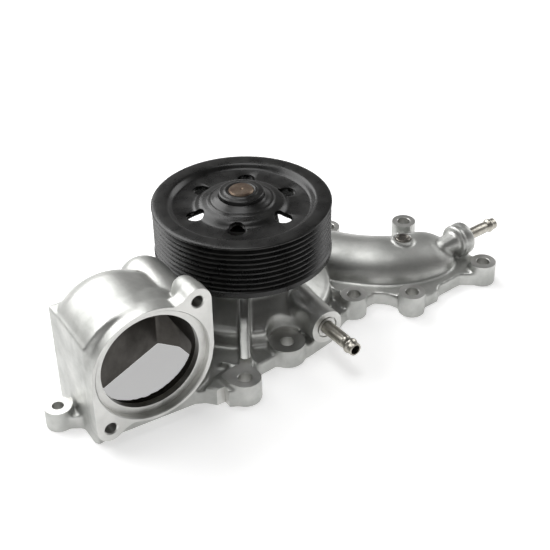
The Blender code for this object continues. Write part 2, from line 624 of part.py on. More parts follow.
def make_shaft(rotor, steel):
    row = BEARING_BOTTOM + BALL_HEIGHT
    groove = BALL_RADIUS + GAP
    reach = math.sqrt(groove ** 2 - (BALL_CIRCLE - SHAFT_RADIUS) ** 2)
    profile = [
        (0.0, TAIL_BOTTOM), (TAIL_RADIUS - 0.0008, TAIL_BOTTOM), (TAIL_RADIUS, TAIL_BOTTOM + 0.0008),
        (TAIL_RADIUS, SHAFT_STEP - 0.0006), (SHAFT_RADIUS - 0.0006, SHAFT_STEP),
        (SHAFT_RADIUS, SHAFT_STEP + 0.0006), (SHAFT_RADIUS, row - reach),
        (BALL_CIRCLE - groove, row), (SHAFT_RADIUS, row + reach),
        (SHAFT_RADIUS, SHAFT_TOP - 0.0010), (SHAFT_RADIUS - 0.0010, SHAFT_TOP), (0.0, SHAFT_TOP),
    ]
    add_object("bearing_shaft", turned(profile, 20), steel, rotor)


def make_outer_race(frame, steel):
    bottom = BEARING_BOTTOM
    top = BEARING_BOTTOM + RACE_LENGTH
    row = BEARING_BOTTOM + BALL_HEIGHT
    track = BEARING_BOTTOM + ROLLER_HEIGHT
    land = BALL_CIRCLE + BALL_RADIUS * 0.86
    groove_floor = BALL_CIRCLE + BALL_RADIUS + GAP
    roller_floor = SHAFT_RADIUS + 2 * ROLLER_RADIUS + 3 * GAP
    half_track = ROLLER_LENGTH / 2 + GAP
    seat = RACE_RADIUS - 0.0022
    step = SHIELD_THICKNESS + 2 * GAP
    add_object("bearing_outer_race", turned((
        (RACE_RADIUS, bottom), (RACE_RADIUS, top), (seat, top), (seat, top - step), (land, top - step),
        (land, track + half_track), (roller_floor, track + half_track),
        (roller_floor, track - half_track), (land, track - half_track), (land, row + 0.0020),
        (groove_floor, row + 0.0010), (groove_floor, row - 0.0010), (land, row - 0.0020),
        (land, bottom + step), (seat, bottom + step), (seat, bottom),
    ), 24), steel, frame)


def make_shields(frame, rubber):
    inner = SHAFT_RADIUS + GAP
    outer = RACE_RADIUS - 0.0022 - GAP
    for name, level in (
        ("bearing_seal_lower", BEARING_BOTTOM + GAP),
        ("bearing_seal_upper", BEARING_BOTTOM + RACE_LENGTH - GAP - SHIELD_THICKNESS),
    ):
        add_object(name, turned((
            (inner, level + 0.0004), (inner + 0.0012, level), (outer, level),
            (outer, level + SHIELD_THICKNESS), (inner + 0.0012, level + SHIELD_THICKNESS),
            (inner, level + SHIELD_THICKNESS - 0.0004),
        ), 20), rubber, frame)


def make_cage(name, parent, material, level, height, circle, element_radius):
    """A crown cage: one ring below the row, with a post standing between each two elements."""
    shape = bmesh.new()
    half_post = circle * math.sin(math.pi / ROLLING_COUNT) - element_radius - GAP
    half_angle = math.asin(half_post / circle)
    angles = []
    for index in range(ROLLING_COUNT):
        middle = math.tau * (index + 0.5) / ROLLING_COUNT
        angles += [middle - half_angle, middle + half_angle, middle + math.pi / ROLLING_COUNT]
    inner = circle - CAGE_WALL / 2
    outer = circle + CAGE_WALL / 2
    rings = []
    for angle in angles:
        direction = Vector((math.cos(angle), math.sin(angle), 0.0))
        corners = ((inner, level), (outer, level), (outer, level + CAGE_RING), (inner, level + CAGE_RING))
        rings.append([shape.verts.new(direction * radius + Vector((0, 0, z))) for radius, z in corners])
    post_tops = []
    for index, near in enumerate(rings):
        far = rings[(index + 1) % len(rings)]
        for corner in range(4):
            after = (corner + 1) % 4
            face = shape.faces.new((near[corner], near[after], far[after], far[corner]))
            if corner == 2 and index % 3 == 0:
                post_tops.append(face)
    for face in post_tops:
        raised = bmesh.ops.extrude_discrete_faces(shape, faces=[face])
        cap = raised["faces"][0]
        bmesh.ops.translate(shape, verts=cap.verts[:], vec=(0.0, 0.0, height))
    add_object(name, shape, material, parent, smooth=False)


def make_rolling_rows(ball_row, roller_row, steel, nylon):
    row = BEARING_BOTTOM + BALL_HEIGHT
    track = BEARING_BOTTOM + ROLLER_HEIGHT
    roller_circle = SHAFT_RADIUS + ROLLER_RADIUS + GAP
    for index in range(ROLLING_COUNT):
        angle = math.tau * index / ROLLING_COUNT
        turn = Matrix.Rotation(angle, 4, "Z")
        shape = ball(BALL_RADIUS)
        shape.transform(turn @ Matrix.Translation((BALL_CIRCLE, 0.0, row)))
        add_object("bearing_ball_%d" % (index + 1), shape, steel, ball_row)
        shape = cylinder(ROLLER_RADIUS, track - ROLLER_LENGTH / 2, track + ROLLER_LENGTH / 2, 10)
        shape.transform(turn @ Matrix.Translation((roller_circle, 0.0, 0.0)))
        add_object("bearing_roller_%d" % (index + 1), shape, steel, roller_row)
    make_cage("ball_cage", ball_row, nylon, row - BALL_RADIUS - CAGE_RING - GAP,
              BALL_RADIUS * 1.7, BALL_CIRCLE, BALL_RADIUS)
    make_cage("roller_cage", roller_row, nylon, track - ROLLER_LENGTH / 2 - CAGE_RING - GAP,
              ROLLER_LENGTH * 0.9, roller_circle, ROLLER_RADIUS)


# ---------------------------------------------------------------- face seal and impeller

def make_seal(frame, rotor, steel, rubber, carbon, ceramic):
    cup_radius = SEAL_BORE_RADIUS - GAP
    cup_top = SEAL_BORE_TOP - GAP
    collar = TAIL_RADIUS + 0.0026
    add_object("seal_cup", turned((
        (cup_radius, CUP_BOTTOM), (cup_radius, cup_top), (collar, cup_top), (collar, cup_top - CUP_WALL),
        (cup_radius - CUP_WALL, cup_top - CUP_WALL), (cup_radius - CUP_WALL, CUP_BOTTOM),
    ), 24), steel, frame)

    carbon_top = CARBON_BOTTOM + CARBON_HEIGHT
    flange = CARBON_BOTTOM + CARBON_HEIGHT * 0.45
    bore = TAIL_RADIUS + 0.0015
    add_object("seal_carbon_ring", turned((
        (bore, CARBON_BOTTOM), (CARBON_RADIUS, CARBON_BOTTOM), (CARBON_RADIUS, flange),
        (CARBON_FLANGE_RADIUS, flange), (CARBON_FLANGE_RADIUS, carbon_top), (bore, carbon_top),
    ), 20), carbon, frame)

    low = carbon_top + GAP
    high = cup_top - CUP_WALL - GAP
    inner = TAIL_RADIUS + 0.0019
    outer = CARBON_RADIUS
    middle = (low + high) / 2
    add_object("seal_bellows", turned((
        (inner, low), (outer, low), (outer, low + 0.0016), (outer - 0.0016, middle),
        (outer, high - 0.0016), (outer, high), (inner, high),
    ), 20), rubber, frame)

    curve = bpy.data.curves.new("seal_spring", "CURVE")
    curve.dimensions = "3D"
    curve.bevel_depth = SPRING_WIRE
    curve.bevel_resolution = 1
    curve.use_fill_caps = True
    curve.materials.append(steel)
    steps = int(SPRING_TURNS * 10)
    line = curve.splines.new("POLY")
    line.points.add(steps)
    spring_low = low + SPRING_WIRE + GAP
    spring_rise = high - SPRING_WIRE - GAP - spring_low
    for step in range(steps + 1):
        angle = math.tau * SPRING_TURNS * step / steps
        line.points[step].co = (
            SPRING_RADIUS * math.cos(angle), SPRING_RADIUS * math.sin(angle),
            spring_low + spring_rise * step / steps, 1.0,
        )
    spring = bpy.data.objects.new("seal_spring", curve)
    bpy.context.scene.collection.objects.link(spring)
    spring.parent = frame

    ceramic_top = CARBON_BOTTOM - GAP
    ceramic_bottom = ceramic_top - CERAMIC_HEIGHT
    ring_bore = TAIL_RADIUS + 0.0006
    add_object("seal_ceramic_ring", turned((
        (ring_bore, ceramic_bottom), (CERAMIC_RADIUS, ceramic_bottom), (CERAMIC_RADIUS, ceramic_top),
        (ring_bore, ceramic_top),
    ), 20), ceramic, rotor)
    seat_bottom = IMPELLER_TOP + GAP
    seat_radius = CERAMIC_RADIUS + 0.0016
    seat_floor = ceramic_bottom - GAP
    add_object("seal_seat_rubber", turned((
        (ring_bore, seat_bottom), (seat_radius, seat_bottom), (seat_radius, ceramic_top - 0.0010),
        (CERAMIC_RADIUS + GAP, ceramic_top - 0.0010), (CERAMIC_RADIUS + GAP, seat_floor),
        (ring_bore, seat_floor),
    ), 20), rubber, rotor)


def blade_outline():
    """Plan of one swept blade: a strip of even thickness along a spiral."""
    centre = []
    steps = 6
    start = IMPELLER_HUB_RADIUS - 0.0010
    for step in range(steps + 1):
        share = step / steps
        radius = start + (IMPELLER_RADIUS - 0.0006 - start) * share
        angle = -math.radians(BLADE_SWEEP) * share
        centre.append(Vector((radius * math.cos(angle), radius * math.sin(angle))))
    left = []
    right = []
    for index, point in enumerate(centre):
        along = centre[min(index + 1, steps)] - centre[max(index - 1, 0)]
        across = Vector((-along.y, along.x)).normalized() * BLADE_THICKNESS / 2
        left.append(tuple(point + across))
        right.append(tuple(point - across))
    return right + left[::-1]


def make_impeller(rotor, resin, brass):
    bore = BUSH_RADIUS + GAP
    shroud = IMPELLER_TOP - SHROUD_THICKNESS
    impeller = add_object("impeller", turned((
        (bore, IMPELLER_BOTTOM), (IMPELLER_HUB_RADIUS, IMPELLER_BOTTOM), (IMPELLER_HUB_RADIUS, shroud),
        (IMPELLER_RADIUS, shroud), (IMPELLER_RADIUS, IMPELLER_TOP), (bore, IMPELLER_TOP),
    ), 24), resin, rotor)
    blades = new_group("impeller_blades")
    for index in range(BLADES):
        shape = prism(blade_outline(), IMPELLER_BOTTOM + 0.0008, shroud + 0.0010)
        shape.transform(Matrix.Rotation(math.tau * index / BLADES, 4, "Z"))
        as_guide(add_object("blade_%d" % index, shape, resin, rotor), blades)
    add_boolean(impeller, "UNION", blades)
    add_object("impeller_bush", turned((
        (TAIL_RADIUS + GAP, IMPELLER_BOTTOM + 0.0006), (BUSH_RADIUS, IMPELLER_BOTTOM + 0.0006),
        (BUSH_RADIUS, IMPELLER_TOP - GAP), (TAIL_RADIUS + GAP, IMPELLER_TOP - GAP),
    ), 20), brass, rotor)


# ---------------------------------------------------------------- nipples and plug

def make_nipple(name, frame, steel, point, heading, radius, length):
    """A steel hose tube: pressed end, plain run, a narrow neck and a rolled bead at its mouth."""
    bore = radius - TUBE_WALL
    bead = radius + 0.0008
    neck = radius - 0.0004
    shape = turned((
        (bore, -TUBE_GRIP), (radius, -TUBE_GRIP), (radius, length - 0.0100), (neck, length - 0.0092),
        (neck, length - 0.0074), (bead, length - 0.0060), (bead, length - 0.0046),
        (radius, length - 0.0034), (radius, length - 0.0006), (radius - 0.0005, length), (bore, length),
    ), 14)
    shape.transform(heading_frame(point, heading))
    add_object(name, shape, steel, frame)


def make_plug(frame, steel):
    shape = turned((
        (0.0, PLUG_PAD_TOP - PLUG_DEPTH), (PLUG_RADIUS, PLUG_PAD_TOP - PLUG_DEPTH),
        (PLUG_RADIUS, PLUG_PAD_TOP + 0.0002), (PLUG_RADIUS - 0.0010, PLUG_PAD_TOP + 0.0008),
        (0.0030, PLUG_PAD_TOP - 0.0002), (0.0, PLUG_PAD_TOP - 0.0004),
    ), 20)
    shape.transform(Matrix.Translation((PLUG_X, PLUG_Y, 0.0)))
    add_object("duct_plug", shape, steel, frame)


def centre_on_base(frame):
    """Moves the whole pump until the origin is at the middle of its box's underside."""
    bpy.context.view_layer.update()
    graph = bpy.context.evaluated_depsgraph_get()
    low = Vector((1.0, 1.0, 1.0))
    high = -low
    for obj in bpy.context.scene.collection.objects:
        if obj.type in {"MESH", "CURVE"}:
            solid = obj.evaluated_get(graph)
            for vertex in solid.to_mesh().vertices:
                place = solid.matrix_world @ vertex.co
                low = Vector(map(min, low, place))
                high = Vector(map(max, high, place))
            solid.to_mesh_clear()
    frame.location = (-(low.x + high.x) / 2, -(low.y + high.y) / 2, -low.z)


clear_scene()
cast_aluminium = finish("die_cast_aluminium", (0.56, 0.57, 0.56), 0.42, 1.0)
painted_steel = finish("black_painted_steel", (0.022, 0.022, 0.024), 0.38, 0.0)
bearing_steel = finish("ground_bearing_steel", (0.42, 0.40, 0.38), 0.30, 1.0)
tube_steel = finish("zinc_plated_steel", (0.60, 0.57, 0.52), 0.32, 1.0)
seal_rubber = finish("nitrile_rubber", (0.02, 0.02, 0.02), 0.75, 0.0)
cage_nylon = finish("natural_nylon", (0.62, 0.58, 0.48), 0.55, 0.0)
face_carbon = finish("seal_carbon", (0.05, 0.05, 0.055), 0.50, 0.0)
face_ceramic = finish("alumina_ceramic", (0.80, 0.78, 0.72), 0.25, 0.0)
impeller_resin = finish("glass_filled_resin", (0.03, 0.03, 0.032), 0.55, 0.0)
bush_brass = finish("turned_brass", (0.72, 0.52, 0.22), 0.35, 1.0)

pump_frame = add_empty("pump_frame", None)
rotor_axis = add_empty("rotor_axis", pump_frame)
ball_row_axis = add_empty("ball_row_axis", pump_frame)
roller_row_axis = add_empty("roller_row_axis", pump_frame)

make_housing(pump_frame, cast_aluminium)
make_pulley(rotor_axis, painted_steel)
make_hub(rotor_axis, painted_steel)
make_shaft(rotor_axis, bearing_steel)
make_outer_race(pump_frame, bearing_steel)
make_shields(pump_frame, seal_rubber)
make_rolling_rows(ball_row_axis, roller_row_axis, bearing_steel, cage_nylon)
make_seal(pump_frame, rotor_axis, tube_steel, seal_rubber, face_carbon, face_ceramic)
make_impeller(rotor_axis, impeller_resin, bush_brass)
make_nipple("front_hose_nipple", pump_frame, tube_steel, FRONT_NIPPLE_AT, FRONT_NIPPLE_HEADING,
            FRONT_TUBE_RADIUS, FRONT_TUBE_LENGTH)
make_nipple("side_hose_nipple", pump_frame, tube_steel, SIDE_NIPPLE_AT, SIDE_NIPPLE_HEADING,
            SIDE_TUBE_RADIUS, SIDE_TUBE_LENGTH)
make_plug(pump_frame, tube_steel)
centre_on_base(pump_frame)
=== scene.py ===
"""Belt-driven engine coolant pump: the look of every piece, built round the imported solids.

The pieces are modelled in millimetres, with the shaft's axis at X = Y = 0 and the mounting face at
Z = 0, and in_frame() sets each finished piece down in the row frame in metres.
"""

import math

import bpy
from mathutils import Matrix, Vector
from mathutils.bvhtree import BVHTree


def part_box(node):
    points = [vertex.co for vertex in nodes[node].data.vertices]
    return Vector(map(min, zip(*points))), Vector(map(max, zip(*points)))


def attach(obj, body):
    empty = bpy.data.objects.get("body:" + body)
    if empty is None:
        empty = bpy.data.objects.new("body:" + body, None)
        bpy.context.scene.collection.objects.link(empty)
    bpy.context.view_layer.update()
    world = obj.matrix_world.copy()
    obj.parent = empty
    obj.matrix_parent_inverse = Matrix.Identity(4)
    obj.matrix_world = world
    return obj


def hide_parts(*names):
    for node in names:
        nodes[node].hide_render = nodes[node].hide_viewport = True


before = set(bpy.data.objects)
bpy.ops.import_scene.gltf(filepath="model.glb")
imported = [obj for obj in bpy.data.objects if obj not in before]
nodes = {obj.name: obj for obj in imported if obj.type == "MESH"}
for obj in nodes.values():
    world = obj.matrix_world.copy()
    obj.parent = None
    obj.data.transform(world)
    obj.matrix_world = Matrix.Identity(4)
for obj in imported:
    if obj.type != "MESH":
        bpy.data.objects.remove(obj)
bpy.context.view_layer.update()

# ------------------------------------------------------------------ the raw casting
# The housing is one pressure die casting in aluminium. Its thermostat inlet, volute, bearing neck,
# outlet duct, bosses and ribs come out of one die, so every root is filleted and every edge is soft.

pulley_low, pulley_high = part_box("pulley")
SHAFT_AXIS = Vector(((pulley_low.x + pulley_high.x) / 2, (pulley_low.y + pulley_high.y) / 2, 0.0))
ROUND = 96
STOCK = 1.6                       # metal left on each face that is machined later


def turned(outline, sides=ROUND):
    """A solid turned about Z from an outline of (radius, height) points."""
    bpy.ops.object.select_all(action="DESELECT")
    bpy.ops.mesh.primitive_circle_add(vertices=len(outline), radius=1.0)
    piece = bpy.context.object
    for vertex, (radius, height) in zip(piece.data.vertices, outline):
        vertex.co = (radius, 0.0, height)
    bpy.ops.object.mode_set(mode="EDIT")
    bpy.ops.mesh.select_all(action="SELECT")
    bpy.ops.mesh.spin(steps=sides, angle=math.tau, center=(0, 0, 0), axis=(0, 0, 1))
    bpy.ops.mesh.select_all(action="SELECT")
    bpy.ops.mesh.remove_doubles(threshold=0.0001)
    bpy.ops.mesh.delete_loose()
    bpy.ops.mesh.select_all(action="SELECT")
    bpy.ops.mesh.normals_make_consistent(inside=False)
    bpy.ops.object.mode_set(mode="OBJECT")
    return piece


def rod(radius, low, high, sides=ROUND):
    return turned(((0.0, low), (radius, low), (radius, high), (0.0, high)), sides)


def slab(outline, low, high):
    """A flat outline of (x, y) points raised from one height to another."""
    bpy.ops.object.select_all(action="DESELECT")
    bpy.ops.mesh.primitive_circle_add(vertices=len(outline), radius=1.0, fill_type="NGON")
    piece = bpy.context.object
    for vertex, (x, y) in zip(piece.data.vertices, outline):
        vertex.co = (x, y, low)
    bpy.ops.object.mode_set(mode="EDIT")
    bpy.ops.mesh.select_all(action="SELECT")
    bpy.ops.mesh.extrude_region_move(TRANSFORM_OT_translate={"value": (0.0, 0.0, high - low)})
    bpy.ops.mesh.select_all(action="SELECT")
    bpy.ops.mesh.normals_make_consistent(inside=False)
    bpy.ops.object.mode_set(mode="OBJECT")
    return piece


def skin(rows):
    """A closed shell over rows of points, each row one loop, with both its ends filled."""
    across = len(rows[0])
    bpy.ops.object.select_all(action="DESELECT")
    bpy.ops.mesh.primitive_grid_add(x_subdivisions=across, y_subdivisions=len(rows) - 1)
    piece = bpy.context.object
    for index, vertex in enumerate(piece.data.vertices):
        row, place = divmod(index, across + 1)
        vertex.co = rows[row][place % across]
    bpy.ops.object.mode_set(mode="EDIT")
    bpy.ops.mesh.select_all(action="SELECT")
    bpy.ops.mesh.remove_doubles(threshold=0.0001)
    bpy.ops.mesh.select_all(action="SELECT")
    bpy.ops.mesh.fill_holes(sides=0)
    bpy.ops.mesh.select_all(action="SELECT")
    bpy.ops.mesh.normals_make_consistent(inside=False)
    bpy.ops.object.mode_set(mode="OBJECT")
    return piece


def put(piece, x=0.0, y=0.0, z=0.0, lie=None, heading=None):
    """Lays a piece down if asked and moves it: lie="-Y" along the inlet bore, or level on a heading."""
    turn = Matrix.Identity(4)
    if lie == "-Y":
        turn = Matrix.Rotation(math.radians(90.0), 4, "X")
    if heading is not None:
        turn = Matrix.Rotation(math.radians(heading), 4, "Z") @ Matrix.Rotation(math.radians(90.0), 4, "Y")
    piece.data.transform(Matrix.Translation((x, y, z)) @ turn)
    return piece


def joined(name, pieces):
    bpy.ops.object.select_all(action="DESELECT")
    for piece in pieces:
        piece.select_set(True)
    bpy.context.view_layer.objects.active = pieces[0]
    bpy.ops.object.join()
    pieces[0].name = name
    pieces[0].data.name = name
    return pieces[0]


def modified(piece, kind, **settings):
    """Adds one modifier with its settings and applies it."""
    modifier = piece.modifiers.new(kind, kind)
    for setting, value in settings.items():
        setattr(modifier, setting, value)
    bpy.ops.object.select_all(action="DESELECT")
    piece.select_set(True)
    bpy.context.view_layer.objects.active = piece
    bpy.ops.object.modifier_apply(modifier=modifier.name)
    return piece


def cut(piece, cutters):
    """Takes a group of cutters that don't touch each other out of a piece."""
    tool = joined("cutter", cutters)
    modified(piece, "BOOLEAN", operation="DIFFERENCE", solver="MANIFOLD", object=tool,
             material_mode="TRANSFER")
    bpy.data.objects.remove(tool, do_unlink=True)
    return piece


def arc(centre_x, centre_y, radius, start, end, steps):
    """Points of an arc, with its angles in degrees."""
    points = []
    for step in range(steps + 1):
        angle = math.radians(start + (end - start) * step / steps)
        points.append((centre_x + radius * math.cos(angle), centre_y + radius * math.sin(angle)))
    return points


# Mounting plate, 9 mm thick, with a boss at each bolt: x, y, radius, height, hole radius
BOSSES = (
    (-46.2, -81.3, 10.0, 15.0, 4.4), (-4.7, -61.8, 11.5, 12.5, 4.4), (57.2, -44.4, 8.8, 15.0, 4.4),
    (91.2, -62.6, 8.8, 15.0, 4.4), (153.1, -59.3, 8.8, 15.0, 4.4), (138.2, 12.0, 8.4, 15.0, 4.4),
    (88.5, 35.0, 8.2, 15.0, 4.4), (42.0, 60.0, 8.8, 15.0, 4.4), (-16.0, 68.0, 8.8, 15.0, 4.4),
    (-70.0, 33.0, 8.8, 15.0, 4.4), (-151.6, -44.0, 8.4, 13.5, 3.4),
)
plate_outline = [
    (-140.0, -74.0), (-120.0, -68.8), (-85.0, -67.2), (-67.7, -75.2), (-56.0, -84.5), (-38.5, -79.0),
    (-30.0, -69.0), (-18.0, -67.0), (-4.7, -64.0), (6.0, -69.5), (28.0, -63.5), (43.5, -52.0),
    (50.0, -49.0), (66.7, -45.0), (74.5, -43.5), (81.8, -50.0), (87.0, -62.0), (99.0, -65.5),
    (112.0, -64.0), (116.0, -59.8), (136.5, -56.8), (145.0, -63.0), (160.0, -52.0), (157.0, -40.0),
    (152.0, -25.0), (145.5, -7.0), (140.0, 2.0), (130.0, 8.0), (112.0, 12.0), (99.0, 22.0),
    (94.0, 37.0), (80.0, 40.0), (56.0, 50.0), (44.0, 64.0), (22.0, 58.0), (0.0, 59.0),
    (-16.0, 70.0), (-30.0, 60.0), (-50.0, 40.0), (-70.0, 36.0), (-90.0, 18.0), (-115.0, -5.0),
    (-140.0, -20.5), (-141.5, -37.0), (-153.0, -39.0), (-155.5, -48.0), (-141.5, -56.0),
]
PLATE_TOP = 9.0
lumps = [slab(plate_outline, -STOCK, PLATE_TOP)]
for x, y, radius, height, _ in BOSSES:
    lumps.append(put(rod(radius, -STOCK, height + STOCK, 48), x, y))

# Volute and bearing neck
lumps.append(turned((
    (0.0, -STOCK), (57.0, -STOCK), (57.0, 18.0), (56.4, 19.4), (55.0, 20.2), (53.2, 20.6),
    (45.0, 26.6), (40.0, 31.0), (38.5, 32.0), (37.4, 34.6), (32.0, 41.3), (29.0, 45.2), (27.6, 48.2),
    (26.4, 52.0), (25.5, 56.0), (22.6, 72.0), (22.5, 73.0 + STOCK), (0.0, 73.0 + STOCK),
)))

# Thermostat inlet: flange with two ears, round case, barrel, skirt and left wall
INLET_X, INLET_FACE, INLET_Z = -103.4, -79.4, 46.6
CASE_LEFT = -141.5                # flat left wall of the case
EAR_X, EAR_Z = 30.0, 33.2         # each flange ear's screw hole from the bore's axis
half_flange = [(38.8, 0.0)] + arc(EAR_X, EAR_Z, 8.8, 0.0, 150.0, 12)
half_flange += arc(0.0, 0.0, 38.2, 66.0, 172.0, 20)
flange_outline = half_flange + [(-x, -z) for x, z in half_flange]
lumps.append(put(slab(flange_outline, -10.0, STOCK), INLET_X, INLET_FACE, INLET_Z, lie="-Y"))
case = put(turned((
    (0.0, -61.4), (24.0, -61.4), (32.0, -58.4), (34.2, -55.4), (36.0, -52.4), (37.4, -49.0),
    (38.2, -45.4), (38.2, -7.5), (0.0, -7.5),
)), -108.5, INLET_FACE, INLET_Z, lie="-Y")
bpy.ops.object.select_all(action="DESELECT")
case.select_set(True)
bpy.context.view_layer.objects.active = case
bpy.ops.object.mode_set(mode="EDIT")
bpy.ops.mesh.select_all(action="SELECT")
bpy.ops.mesh.bisect(
    plane_co=(CASE_LEFT, 0.0, 0.0), plane_no=(-1.0, 0.0, 0.0), clear_outer=True, use_fill=True)
bpy.ops.object.mode_set(mode="OBJECT")
lumps.append(case)
lumps.append(put(turned((
    (0.0, -36.0), (30.0, -36.0), (34.2, -31.0), (36.4, -26.0), (37.5, -20.0), (37.5, -2.0), (0.0, -2.0),
)), INLET_X, INLET_FACE, INLET_Z, lie="-Y"))
lumps.append(slab([
    (CASE_LEFT, -71.5), (-76.0, -71.5), (-64.0, -65.0), (-55.0, -53.0), (-50.0, -32.0), (-50.0, -12.0),
    (-62.0, 2.0), (-70.0, 3.0), (-118.0, -19.5), (CASE_LEFT, -20.5),
], -STOCK, 43.0))
lumps.append(slab([
    (CASE_LEFT, -71.5), (-100.0, -71.5), (-100.0, -20.5), (CASE_LEFT, -20.5),
], -STOCK, 68.0))
lumps.append(put(turned((
    (0.0, -23.0), (4.0, -22.5), (6.8, -20.0), (7.8, -16.0), (8.8, -5.0), (0.0, -5.0),
), 48), INLET_X + EAR_X, INLET_FACE, INLET_Z + EAR_Z, lie="-Y"))
lumps.append(put(turned((
    (0.0, -74.0), (4.4, -73.6), (8.0, -72.5), (10.9, -70.9), (13.0, -69.0), (14.9, -65.7),
    (16.0, -62.0), (16.5, -54.0), (16.0, -35.0), (14.0, -22.0), (0.0, -20.0),
), 64), -79.5, INLET_FACE, 61.2, lie="-Y"))
lumps.append(slab([
    (-88.0, -60.0), (-66.0, -60.0), (-64.0, -30.0), (-64.0, -10.0), (-88.0, -10.0),
], 25.0, 60.0))


# Outlet duct: an arch that sweeps off the volute and ends in a dome. x, y, half width, height
DUCT_COURSE = (
    (56.0, 26.0, 23.5, 17.0), (70.0, 9.0, 24.0, 17.2), (83.0, -7.0, 24.0, 18.0),
    (97.0, -19.5, 24.0, 19.2), (111.0, -25.5, 24.0, 18.0), (124.0, -27.0, 24.0, 16.8),
)


def smooth_course(points, steps):
    """More points along a course, on a curve that passes through the given ones."""
    ends = [points[0]] + list(points) + [points[-1]]
    course = []
    for before, start, end, after in zip(ends, ends[1:], ends[2:], ends[3:]):
        for step in range(steps):
            t = step / steps
            course.append(tuple(
                0.5 * (2 * b + (c - a) * t + (2 * a - 5 * b + 4 * c - d) * t * t
                       + (3 * b - a - 3 * c + d) * t ** 3)
                for a, b, c, d in zip(before, start, end, after)
            ))
    return course + [points[-1]]


def duct_rows(wall, floor):
    """Arched rows along the duct, inset by a wall, down to a floor height."""
    course = smooth_course(DUCT_COURSE, 5)
    if wall:
        course[0] = (56.0 + 0.636 * wall, 26.0 - 0.772 * wall, 23.5, 17.0)
        course[1] = (60.3, 20.8, 23.6, 17.0)
    end_x, end_y, width, height = course[-1]
    heading = math.atan2(end_y - DUCT_COURSE[-2][1], end_x - DUCT_COURSE[-2][0])
    for step in range(1, 15):
        turn = math.radians(88.0) * step / 14
        reach = (width - wall) * math.sin(turn)
        course.append((
            end_x + reach * math.cos(heading), end_y + reach * math.sin(heading),
            wall + (width - wall) * math.cos(turn), wall + (height - wall) * math.cos(turn),
        ))
    rows = []
    for index, (x, y, half_width, height) in enumerate(course):
        before = course[max(index - 1, 0)]
        after = course[min(index + 1, len(course) - 1)]
        along = Vector((after[0] - before[0], after[1] - before[1], 0.0)).normalized()
        across = Vector((-along.y, along.x, 0.0))
        side_of = [(across * side * (half_width - wall), PLATE_TOP + rise * (height - wall))
                   for side, rise in arc(0.0, 0.0, 1.0, 0.0, 180.0, 32)]
        row = [Vector((x, y, level)) + side for side, level in side_of]
        row.append(Vector((x, y, floor)) - across * (half_width - wall))
        row.append(Vector((x, y, floor)) + across * (half_width - wall))
        rows.append(row)
    return rows


lumps.append(skin(duct_rows(0.0, -STOCK)))
PLUG = {"x": 110.8, "y": -24.2}
lumps.append(put(rod(6.8, 20.0, 29.2 + STOCK, 48), **PLUG))

# Bosses that hold the two hose nipples, each along its own heading
FRONT = {"x": 19.0, "y": -71.0, "z": 20.0, "heading": -86.0}
SIDE = {"x": 156.0, "y": -34.5, "z": 20.3, "heading": 6.6}
lumps.append(put(turned((
    (0.0, -24.0), (4.6, -24.0), (7.2, -13.0), (7.2, -11.2), (11.0, -10.6), (11.5, -9.8), (11.5, -8.0),
    (10.1, -7.4), (10.1, -6.4), (11.5, -5.8), (11.5, -0.4), (11.1, 0.0), (0.0, 0.0),
), 64), **SIDE))
lumps.append(put(turned((
    (0.0, -48.0), (12.5, -48.0), (12.3, -32.0), (12.0, -24.0), (11.8, -18.0), (11.5, -14.4),
    (11.3, -12.0), (11.3, STOCK), (0.0, STOCK),
), 64), **FRONT))


def rib(x, y, heading, outline, thickness):
    """A flat rib stood up along a heading, from an outline of (distance, height) points."""
    piece = slab(outline, -thickness / 2, thickness / 2)
    turn = Matrix.Rotation(math.radians(heading), 4, "Z") @ Matrix.Rotation(math.radians(90.0), 4, "X")
    piece.data.transform(Matrix.Translation((x, y, 0.0)) @ turn)
    return piece


# A flat pad runs from the front left boss to the inlet, and a low wall closes the pocket behind it
lumps.append(slab([
    (-46.2, -91.3), (-37.0, -86.0), (-33.5, -74.0), (-30.0, -68.0), (-44.0, -62.0), (-60.0, -68.0),
    (-70.0, -74.0), (-60.0, -84.5),
], -STOCK, 12.0))
lumps.append(slab([
    (-52.0, -88.6), (-37.0, -85.0), (-37.6, -75.0), (-45.7, -68.0), (-58.5, -72.0), (-57.0, -82.0),
], 5.0, 15.0 + STOCK))
lumps.append(slab([(-49.0, -56.5), (-43.0, -64.5), (-44.6, -66.0), (-51.0, -58.0)], 5.0, 13.5))
to_front_left = math.degrees(math.atan2(BOSSES[0][1], BOSSES[0][0]))
lumps.append(rib(0.0, 0.0, to_front_left, (
    (24.0, 6.0), (85.6, 6.0), (85.1, 15.0), (60.0, 25.0), (43.0, 36.0), (24.0, 45.0),
), 6.8))
lumps.append(rib(39.0, -10.0, -68.0, (
    (0.0, 6.0), (36.0, 6.0), (34.0, 15.0), (20.0, 18.5), (0.0, 25.0),
), 2.4))
lumps.append(rib(-22.0, -38.0, -112.0, (
    (0.0, 6.0), (33.0, 6.0), (32.0, 13.0), (14.0, 19.0), (0.0, 24.0),
), 2.6))

